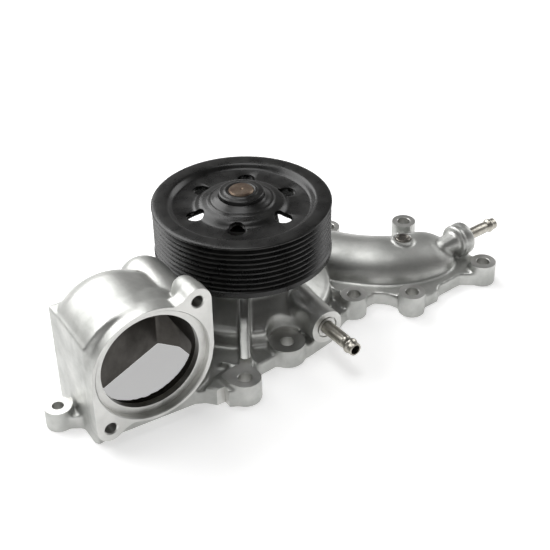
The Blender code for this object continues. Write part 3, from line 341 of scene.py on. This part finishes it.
# The lumps flow into one body, the sand-cored passages are taken out, and the edges soften
casting = joined("housing_casting", lumps)
modified(casting, "REMESH", mode="VOXEL", voxel_size=1.0)
duct_core = skin(duct_rows(4.0, -6.0))
skirt_core = slab([
    (-136.5, -63.0), (-72.0, -63.0), (-61.0, -50.0), (-56.0, -30.0), (-58.0, -16.0), (-68.0, -5.0),
    (-116.0, -28.0), (-136.5, -34.0),
], -6.0, 38.0)
inlet_core = put(turned((
    (0.0, -54.0), (20.0, -54.0), (33.2, -50.0), (33.2, -9.0), (28.0, -9.0), (28.0, 6.0), (0.0, 6.0),
)), INLET_X, INLET_FACE, INLET_Z, lie="-Y")
core_skins = [
    BVHTree.FromPolygons([vertex.co.copy() for vertex in core.data.vertices],
                         [tuple(face.vertices) for face in core.data.polygons])
    for core in (duct_core, skirt_core, inlet_core)
]
cut(casting, [duct_core, skirt_core])
cut(casting, [inlet_core])
cut(casting, [put(turned((
    (0.0, 14.3), (12.3, 14.3), (13.4, 22.0), (17.0, 34.0), (0.0, 34.0),
), 64), -4.7, -61.8)])
modified(casting, "REMESH", mode="VOXEL", voxel_size=0.9)
modified(casting, "SMOOTH", factor=0.5, iterations=8)
modified(casting, "DECIMATE", decimate_type="COLLAPSE", ratio=0.34)

# ------------------------------------------------------------------ machining the casting
# The finished faces and bores are milled, bored and spot-faced after casting, so they are flat,
# crisp at the edge and brighter than the skin round them.


def linear(hex_colour):
    """An sRGB hex colour as linear red, green, blue and alpha."""
    channels = []
    for start in (1, 3, 5):
        value = int(hex_colour[start:start + 2], 16) / 255
        channels.append(value / 12.92 if value <= 0.04045 else ((value + 0.055) / 1.055) ** 2.4)
    return (*channels, 1.0)


def node(tree, kind, settings=None, inputs=None):
    """Adds a shader node with its settings, and each input set to a value or linked to a socket."""
    made = tree.nodes.new(kind)
    for name, value in (settings or {}).items():
        setattr(made, name, value)
    for name, value in (inputs or {}).items():
        if isinstance(value, bpy.types.NodeSocket):
            tree.links.new(value, made.inputs[name])
        else:
            made.inputs[name].default_value = value
    return made


def new_material(name, **sockets):
    """A material whose Principled shader has these constant socket values."""
    material = bpy.data.materials.new(name)
    material.use_nodes = True
    shader = material.node_tree.nodes["Principled BSDF"]
    for socket, value in sockets.items():
        shader.inputs[socket.replace("_", " ")].default_value = value
    return material, material.node_tree, shader


def steps_of(tree, source, stops):
    """A colour ramp over a value, from (position, hex colour) stops."""
    ramp = node(tree, "ShaderNodeValToRGB", inputs={"Fac": source})
    while len(ramp.color_ramp.elements) < len(stops):
        ramp.color_ramp.elements.new(0.5)
    for element, (position, colour) in zip(ramp.color_ramp.elements, stops):
        element.position = position
        element.color = linear(colour)
    return ramp.outputs["Color"]


def die_cast_aluminium():
    """Pressure die-cast aluminium, peened clean: a dull silver skin with a fine grain and soft mottling.

    The passages that a core leaves aren't peened, and their darker grey is also painted shade for the
    hollows."""
    material, tree, shader = new_material("die_cast_aluminium", Metallic=1.0)
    place = node(tree, "ShaderNodeTexCoord").outputs["Object"]
    cloud = node(tree, "ShaderNodeTexNoise", inputs={
        "Vector": place, "Scale": 1000.0 / 22.0, "Detail": 5.0, "Roughness": 0.6}).outputs["Fac"]
    grain = node(tree, "ShaderNodeTexNoise", inputs={
        "Vector": place, "Scale": 1000.0 / 0.7, "Detail": 3.0, "Roughness": 0.7}).outputs["Fac"]
    skin_tone = steps_of(tree, cloud, ((0.30, "#a8a9a6"), (0.52, "#bbbcb9"), (0.72, "#cacac7")))
    # Painted shade: the cored passages get this darker grey, which stands for the shade inside the hollows.
    core_shade_tone = steps_of(tree, cloud, ((0.30, "#55524e"), (0.70, "#76736f")))
    cored = node(tree, "ShaderNodeAttribute", {"attribute_name": "cored"}).outputs["Fac"]
    colour = node(tree, "ShaderNodeMix", {"data_type": "RGBA"}, {
        0: cored, 6: skin_tone, 7: core_shade_tone}).outputs[2]
    tree.links.new(colour, shader.inputs["Base Color"])
    rough = node(tree, "ShaderNodeMapRange", inputs={
        "Value": cloud, "From Min": 0.3, "From Max": 0.7, "To Min": 0.50, "To Max": 0.38}).outputs["Result"]
    tree.links.new(rough, shader.inputs["Roughness"])
    swell = node(tree, "ShaderNodeTexNoise", inputs={
        "Vector": place, "Scale": 1000.0 / 5.0, "Detail": 2.0}).outputs["Fac"]
    waves = node(tree, "ShaderNodeBump", inputs={"Height": swell, "Strength": 0.12, "Distance": 0.0006})
    peened = node(tree, "ShaderNodeBump", inputs={
        "Height": grain, "Strength": 0.35, "Distance": 0.00012, "Normal": waves.outputs["Normal"]})
    tree.links.new(peened.outputs["Normal"], shader.inputs["Normal"])
    return material


def milled_aluminium():
    """Face-milled aluminium: a bright flat cut with fine, shallow feed marks."""
    material, tree, shader = new_material("milled_aluminium", Metallic=1.0)
    place = node(tree, "ShaderNodeTexCoord").outputs["Object"]
    drift = node(tree, "ShaderNodeTexNoise", inputs={
        "Vector": place, "Scale": 1000.0 / 14.0, "Detail": 4.0}).outputs["Fac"]
    colour = steps_of(tree, drift, ((0.35, "#c6c6c3"), (0.65, "#d8d8d5")))
    tree.links.new(colour, shader.inputs["Base Color"])
    feed = node(tree, "ShaderNodeTexWave", {"wave_type": "RINGS", "rings_direction": "SPHERICAL"}, {
        "Vector": place, "Scale": 1000.0 / 9.0, "Distortion": 0.6, "Detail": 2.0}).outputs["Fac"]
    marks = node(tree, "ShaderNodeBump", inputs={"Height": feed, "Strength": 0.08, "Distance": 0.0001})
    tree.links.new(marks.outputs["Normal"], shader.inputs["Normal"])
    rough = node(tree, "ShaderNodeMapRange", inputs={
        "Value": drift, "From Min": 0.3, "From Max": 0.7, "To Min": 0.34, "To Max": 0.44}).outputs["Result"]
    tree.links.new(rough, shader.inputs["Roughness"])
    return material


cast_skin = die_cast_aluminium()
milled = milled_aluminium()
casting.data.materials.clear()
casting.data.materials.append(cast_skin)


def tool_of(*cutters):
    for cutter in cutters:
        cutter.data.materials.append(milled)
    return list(cutters)


# Mounting face, flange face, neck, plug pad and the nipple boss
cut(casting, tool_of(slab([(-200, -140), (200, -140), (200, 140), (-200, 140)], -30.0, 0.0)))
cut(casting, tool_of(
    put(slab([(-48, -50), (44, -50), (44, 60), (-48, 60)], 0.0, 20.0),
        INLET_X, INLET_FACE, INLET_Z, lie="-Y"),
    rod(30.0, 73.0, 80.0), put(rod(9.0, 29.2, 40.0), **PLUG), put(rod(14.0, 0.0, 8.0), **FRONT),
))
cut(casting, tool_of(put(turned((
    (6.4, -1.6), (7.4, -1.6), (7.4, 2.0), (6.4, 2.0),
), 64), **FRONT)))
cut(casting, tool_of(*[put(rod(radius + 0.4, height, height + 2.4, 64), x, y)
                       for x, y, radius, height, _ in BOSSES]))
cut(casting, tool_of(slab([(-49.0, -95.0), (-30.0, -95.0), (-30.0, -66.0), (-44.6, -66.0), (-59.5, -71.0),
                           (-59.5, -84.0)], 15.0, 17.4)))
cut(casting, tool_of(*[put(turned((
    (0.0, -4.0), (hole, -4.0), (hole, height - 0.3), (hole + 2.3, height + 2.0), (0.0, height + 2.0),
), 48), x, y) for x, y, _, height, hole in BOSSES]))
cut(casting, tool_of(turned((
    (0.0, -4.0), (45.0, -4.0), (45.0, 17.0), (18.2, 17.0), (18.2, 31.5), (13.0, 31.5), (13.0, 34.7),
    (17.8, 34.7), (17.8, 72.2), (20.8, 75.2), (0.0, 75.2),
))))
cut(casting, tool_of(slab([(40.0, 18.0), (42.5, 10.0), (53.0, 16.5), (49.0, 20.5)], -4.0, 14.0)))
cut(casting, tool_of(put(turned((
    (0.0, -12.0), (31.0, -12.0), (31.0, -4.5), (35.7, -4.5), (35.7, -0.6), (39.1, 2.8), (0.0, 2.8),
), 128), INLET_X, INLET_FACE, INLET_Z, lie="-Y")))
cut(casting, tool_of(*[put(turned((
    (0.0, -20.0), (3.6, -18.0), (3.6, -0.7), (6.3, 2.0), (0.0, 2.0),
), 48), INLET_X + side * EAR_X, INLET_FACE, INLET_Z + side * EAR_Z, lie="-Y") for side in (1, -1)]))
cut(casting, tool_of(
    put(turned(((0.0, 26.5), (5.5, 26.5), (5.5, 28.9), (7.2, 30.6), (0.0, 30.6)), 48), **PLUG),
    put(turned((
        (0.0, -42.0), (3.1, -42.0), (3.1, -10.3), (4.6, -10.3), (4.6, 2.0), (0.0, 2.0),
    ), 48), **FRONT),
    put(turned((
        (0.0, -30.0), (2.8, -30.0), (2.8, -10.3), (4.3, -10.3), (4.3, 2.0), (0.0, 2.0),
    ), 48), **SIDE),
))


def in_frame(piece, angle=32.0):
    """Shades a finished piece and sets it down in the row frame, in metres."""
    piece.data.transform(Matrix.Translation(SHAFT_AXIS) @ Matrix.Scale(0.001, 4))
    bpy.ops.object.select_all(action="DESELECT")
    piece.select_set(True)
    bpy.context.view_layer.objects.active = piece
    bpy.ops.object.shade_smooth_by_angle(angle=math.radians(angle))
    return piece


CORE_REACH = 1.6                  # skin this close to a core was cast against it
# Marks the cored skin, where the casting's material paints its darker grey as painted shade.
cored = casting.data.attributes.new("cored", "FLOAT", "POINT")
for vertex, mark in zip(casting.data.vertices, cored.data):
    nearest = min(skin_tree.find_nearest(vertex.co)[3] for skin_tree in core_skins)
    mark.value = 1.0 if nearest < CORE_REACH else 0.0
in_frame(casting)
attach(casting, "casing")
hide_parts("pump_housing")

# ------------------------------------------------------------------ belt pulley
# A pressed and spun steel pulley: eight vee grooves rolled into its rim, a dished web with six
# round holes and a raised centre. It is coated in a thin, half-glossy black paint.

GROOVES, GROOVE_PITCH = 8, 3.56
outer = [(57.4, 82.7)]
for groove in range(GROOVES + 1):
    crest = 82.0 - groove * GROOVE_PITCH
    outer += [(56.85, crest + 0.45), (57.0, crest), (56.85, crest - 0.45)]
    if groove < GROOVES:
        outer += [(54.6, crest - 1.52), (54.4, crest - 1.78), (54.6, crest - 2.04)]
outer += [(54.4, 52.0), (57.0, 50.9), (57.4, 50.5), (57.4, 47.3), (57.1, 47.0)]
inside = [
    (52.1, 47.0), (51.8, 47.3), (51.8, 75.0), (51.2, 76.4), (48.8, 77.0), (31.0, 77.0), (29.2, 77.8),
    (26.5, 80.0), (22.0, 81.0), (18.0, 82.4), (14.9, 83.0),
]
top = [
    (14.9, 87.0), (15.5, 86.5), (16.6, 86.0), (18.0, 85.4), (18.9, 84.7), (19.6, 84.5), (20.4, 84.5),
    (21.0, 84.1), (21.6, 83.6), (22.4, 83.4), (24.6, 83.2), (26.4, 82.8), (27.6, 82.2), (28.6, 81.3),
    (29.6, 80.5), (30.8, 80.1), (32.0, 80.0), (43.2, 80.0), (44.2, 80.3), (45.2, 81.2), (46.2, 82.4),
    (47.2, 83.1), (48.4, 83.4), (54.4, 83.4), (56.2, 83.3), (57.0, 83.1),
]
pulley = turned(outer + inside + top, 144)
cut(pulley, [put(rod(5.7, 70.0, 95.0, 40), 31.8 * math.cos(angle), 31.8 * math.sin(angle))
             for angle in (math.radians(55.0 + 60.0 * step) for step in range(6))])
modified(pulley, "BEVEL", width=0.35, segments=2, limit_method="ANGLE", angle_limit=math.radians(50.0))


def black_coated_steel():
    """Electro-coated steel: deep black, half gloss, with a little orange peel and faint dust."""
    material, tree, shader = new_material(
        "black_coated_steel", Metallic=0.0, Specular_IOR_Level=0.42, Coat_Weight=0.05, Coat_Roughness=0.25)
    place = node(tree, "ShaderNodeTexCoord").outputs["Object"]
    cloud = node(tree, "ShaderNodeTexNoise", inputs={
        "Vector": place, "Scale": 1000.0 / 9.0, "Detail": 4.0}).outputs["Fac"]
    colour = steps_of(tree, cloud, ((0.35, "#101010"), (0.70, "#1e1e1d")))
    tree.links.new(colour, shader.inputs["Base Color"])
    rough = node(tree, "ShaderNodeMapRange", inputs={
        "Value": cloud, "From Min": 0.3, "From Max": 0.7, "To Min": 0.24, "To Max": 0.34}).outputs["Result"]
    tree.links.new(rough, shader.inputs["Roughness"])
    peel = node(tree, "ShaderNodeTexNoise", inputs={
        "Vector": place, "Scale": 1000.0 / 1.2, "Detail": 2.0}).outputs["Fac"]
    skin_bump = node(tree, "ShaderNodeBump", inputs={"Height": peel, "Strength": 0.15, "Distance": 0.0001})
    tree.links.new(skin_bump.outputs["Normal"], shader.inputs["Normal"])
    return material


black_coat = black_coated_steel()
pulley.name = "belt_pulley"
pulley.data.materials.clear()
pulley.data.materials.append(black_coat)
in_frame(pulley)
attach(pulley, "rotor")
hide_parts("pulley")

# ------------------------------------------------------------------ hub and shaft end
# The hub is a turned steel collar pressed on the shaft, painted with the pulley. The shaft's ground
# end stands a little proud of it, with a chamfer and a small centre mark, and has browned with oil.

hub = turned((
    (8.3, 75.5), (14.0, 75.5), (14.6, 76.1), (14.6, 88.9), (14.4, 89.5), (13.9, 89.9), (13.2, 90.0),
    (11.2, 90.0), (10.8, 90.15), (10.4, 90.5), (10.0, 90.6), (8.9, 90.5), (8.3, 90.2),
), 96)
hub.name = "pressed_hub"
hub.data.materials.append(black_coat)
in_frame(hub)
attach(hub, "rotor")
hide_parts("pulley_hub")

shaft = turned((
    (0.0, 3.0), (5.7, 3.0), (6.5, 3.8), (6.5, 32.4), (7.4, 33.0), (8.0, 33.6), (8.0, 43.6),
    (7.4, 45.5), (8.0, 47.4), (8.0, 90.3), (7.1, 91.2), (1.4, 91.2), (1.1, 91.0), (0.6, 90.5), (0.0, 90.4),
), 96)


def ground_steel():
    """Ground bearing steel with a film of old oil: grey-brown and glossy."""
    material, tree, shader = new_material("ground_bearing_steel", Metallic=1.0)
    place = node(tree, "ShaderNodeTexCoord").outputs["Object"]
    stain = node(tree, "ShaderNodeTexNoise", inputs={
        "Vector": place, "Scale": 1000.0 / 5.0, "Detail": 5.0, "Roughness": 0.6}).outputs["Fac"]
    colour = steps_of(tree, stain, ((0.30, "#5c4e45"), (0.55, "#736558"), (0.75, "#877a6f")))
    tree.links.new(colour, shader.inputs["Base Color"])
    rough = node(tree, "ShaderNodeMapRange", inputs={
        "Value": stain, "From Min": 0.3, "From Max": 0.7, "To Min": 0.50, "To Max": 0.40}).outputs["Result"]
    tree.links.new(rough, shader.inputs["Roughness"])
    return material


ground = ground_steel()
shaft.name = "shaft_and_end"
shaft.data.materials.append(ground)
in_frame(shaft)
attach(shaft, "rotor")
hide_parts("bearing_shaft")

# ------------------------------------------------------------------ hose nipples and plug
# Two short steel tubes pressed into the casting, each with a rolled bead that holds its hose, and a
# dished steel plug that closes the core hole on top of the duct. All are plated, the plug duller.


def plated_steel(name, tones):
    """Zinc-plated steel: a soft, slightly warm silver with cloudy plating, duller where it has aged."""
    material, tree, shader = new_material(name, Metallic=1.0)
    place = node(tree, "ShaderNodeTexCoord").outputs["Object"]
    cloud = node(tree, "ShaderNodeTexNoise", inputs={
        "Vector": place, "Scale": 1000.0 / 4.0, "Detail": 4.0}).outputs["Fac"]
    colour = steps_of(tree, cloud, tuple(zip((0.30, 0.60, 0.80), tones)))
    tree.links.new(colour, shader.inputs["Base Color"])
    rough = node(tree, "ShaderNodeMapRange", inputs={
        "Value": cloud, "From Min": 0.3, "From Max": 0.7, "To Min": 0.38, "To Max": 0.26}).outputs["Result"]
    tree.links.new(rough, shader.inputs["Roughness"])
    return material


plated = plated_steel("zinc_plated_steel", ("#9c988f", "#b8b5ac", "#c8c6bf"))
aged_plating = plated_steel("aged_zinc_plating", ("#6f6c67", "#85827c", "#96938d"))
for name, seat, radius, length in (
    ("front_hose_nipple", FRONT, 4.3, 29.0), ("side_hose_nipple", SIDE, 4.0, 28.7),
):
    bore = radius - 1.2
    nipple = put(turned((
        (bore, -10.0), (radius, -10.0), (radius, length - 10.2), (radius - 0.1, length - 9.8),
        (radius - 0.4, length - 9.2), (radius - 0.4, length - 7.6), (radius - 0.1, length - 7.0),
        (radius + 0.5, length - 6.4), (radius + 0.8, length - 5.7), (radius + 0.8, length - 4.9),
        (radius + 0.5, length - 4.1), (radius + 0.05, length - 3.5), (radius, length - 3.1),
        (radius, length - 0.7), (radius - 0.15, length - 0.25), (radius - 0.5, length),
        (bore + 0.2, length), (bore, length - 0.2),
    ), 64), **seat)
    nipple.name = name + "_tube"
    nipple.data.materials.append(plated)
    in_frame(nipple)
    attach(nipple, "casing")
    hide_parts(name)

plug = put(turned((
    (0.0, 26.8), (5.2, 26.8), (5.2, 29.3), (5.0, 29.7), (4.6, 29.95), (4.1, 29.95), (3.7, 29.6),
    (3.3, 29.0), (2.6, 28.8), (0.0, 28.8),
), 64), **PLUG)
plug.name = "pressed_plug"
plug.data.materials.append(aged_plating)
in_frame(plug)
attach(plug, "casing")
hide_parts("duct_plug")

# ------------------------------------------------------------------ bearing, seal and impeller
# What lies inside: the bearing's race, shields, cages, balls and rollers, the carbon face seal, and
# the moulded impeller on its brass bush. The solids' own shapes stay; each gets its real finish.


def plain_finish(name, dark, light, grain_mm, rough_low, rough_high, metallic=0.0):
    """A finish whose tone and gloss drift between two values over a grain of a given size."""
    material, tree, shader = new_material(name, Metallic=metallic)
    place = node(tree, "ShaderNodeTexCoord").outputs["Object"]
    cloud = node(tree, "ShaderNodeTexNoise", inputs={
        "Vector": place, "Scale": 1000.0 / grain_mm, "Detail": 4.0}).outputs["Fac"]
    tree.links.new(steps_of(tree, cloud, ((0.32, dark), (0.68, light))), shader.inputs["Base Color"])
    rough = node(tree, "ShaderNodeMapRange", inputs={
        "Value": cloud, "From Min": 0.3, "From Max": 0.7,
        "To Min": rough_low, "To Max": rough_high}).outputs["Result"]
    tree.links.new(rough, shader.inputs["Roughness"])
    bump = node(tree, "ShaderNodeBump", inputs={"Height": cloud, "Strength": 0.1, "Distance": 0.0001})
    tree.links.new(bump.outputs["Normal"], shader.inputs["Normal"])
    return material


nitrile = plain_finish("moulded_nitrile_rubber", "#141414", "#202020", 1.5, 0.55, 0.75)
nylon = plain_finish("natural_nylon", "#c9c2ab", "#d8d2bf", 4.0, 0.40, 0.55)
carbon = plain_finish("lapped_carbon", "#2b2b2e", "#3a3a3e", 1.0, 0.25, 0.40)
ceramic = plain_finish("lapped_alumina", "#dcd8cc", "#e8e5dc", 3.0, 0.15, 0.25)
resin = plain_finish("glass_filled_resin", "#1b1b1c", "#2a2a2b", 0.8, 0.40, 0.60)
brass = plain_finish("turned_brass", "#b8924a", "#cda860", 2.0, 0.22, 0.34, metallic=1.0)
FINISH_OF = {
    "bearing_outer_race": ground, "bearing_seal_lower": nitrile, "bearing_seal_upper": nitrile,
    "ball_cage": nylon, "roller_cage": nylon, "seal_cup": plated, "seal_carbon_ring": carbon,
    "seal_bellows": nitrile, "seal_spring": plated, "seal_ceramic_ring": ceramic,
    "seal_seat_rubber": nitrile, "impeller": resin, "impeller_bush": brass,
}
for index in range(1, 9):
    FINISH_OF["bearing_ball_%d" % index] = ground
    FINISH_OF["bearing_roller_%d" % index] = ground
for name, finish in FINISH_OF.items():
    nodes[name].data.materials.clear()
    nodes[name].data.materials.append(finish)

# ------------------------------------------------------------------ floor, light and camera
# A plain pale studio: a wide, softly lit matt floor, a large soft light high behind on the left and
# smaller ones at the right, at the left and overhead, under a sky that darkens upwards.

bpy.ops.object.select_all(action="DESELECT")
bpy.ops.mesh.primitive_plane_add(size=12.0, location=(0.0, 0.0, -0.0002))
floor = bpy.context.object
floor.name = "studio_floor"
paper, paper_tree, paper_shader = new_material("pale_paper", Roughness=0.9, Emission_Strength=0.46)
paper_shader.inputs["Base Color"].default_value = linear("#f2f2f2")
paper_shader.inputs["Emission Color"].default_value = linear("#ffffff")
floor.data.materials.append(paper)


def soft_light(name, place, aim, size, power):
    bpy.ops.object.light_add(type="AREA", location=place)
    light = bpy.context.object
    light.name = name
    light.data.shape = "RECTANGLE"
    light.data.size, light.data.size_y = size
    light.data.energy = power
    light.rotation_euler = (Vector(aim) - Vector(place)).to_track_quat("-Z", "Y").to_euler()
    return light


soft_light("key", (-0.50, 1.15, 1.15), (0.0, 0.0, 0.05), (1.9, 1.1), 27.0)
soft_light("side", (1.35, 0.1, 0.75), (0.0, 0.0, 0.05), (0.8, 0.8), 5.0)
soft_light("left", (-1.2, -0.75, 0.75), (0.0, 0.0, 0.05), (0.4, 0.4), 0.6)
soft_light("top", (-0.1, 0.1, 1.6), (0.0, 0.0, 0.05), (0.9, 0.7), 7.0)

world = bpy.data.worlds.new("studio")
world.use_nodes = True
sky = world.node_tree
way = node(sky, "ShaderNodeTexCoord").outputs["Generated"]
height = node(sky, "ShaderNodeSeparateXYZ", inputs={"Vector": way}).outputs["Z"]
sky_tone = steps_of(sky, height, (
    (0.0, "#f6f5f4"), (0.22, "#b0afae"), (0.50, "#7c7b7a"), (0.9, "#5a5958"),
))
sky.links.new(sky_tone, sky.nodes["Background"].inputs["Color"])
sky.nodes["Background"].inputs["Strength"].default_value = 0.8
bpy.context.scene.world = world
bpy.context.scene.view_settings.view_transform = "Standard"

camera_data = bpy.data.cameras.new("camera")
camera_data.lens = 79.35
camera_data.sensor_width = 36.0
camera = bpy.data.objects.new("camera", camera_data)
bpy.context.scene.collection.objects.link(camera)
right = Vector((0.8580, -0.5133, -0.0176)).normalized()
forward = Vector((0.4152, 0.7135, -0.5644)).normalized()
up = right.cross(forward).normalized()
eye = SHAFT_AXIS + Vector((-0.3146, -0.5807, 0.4762))
camera.matrix_world = Matrix.Translation(eye) @ Matrix((right, up, -forward)).transposed().to_4x4()
bpy.context.scene.camera = camera
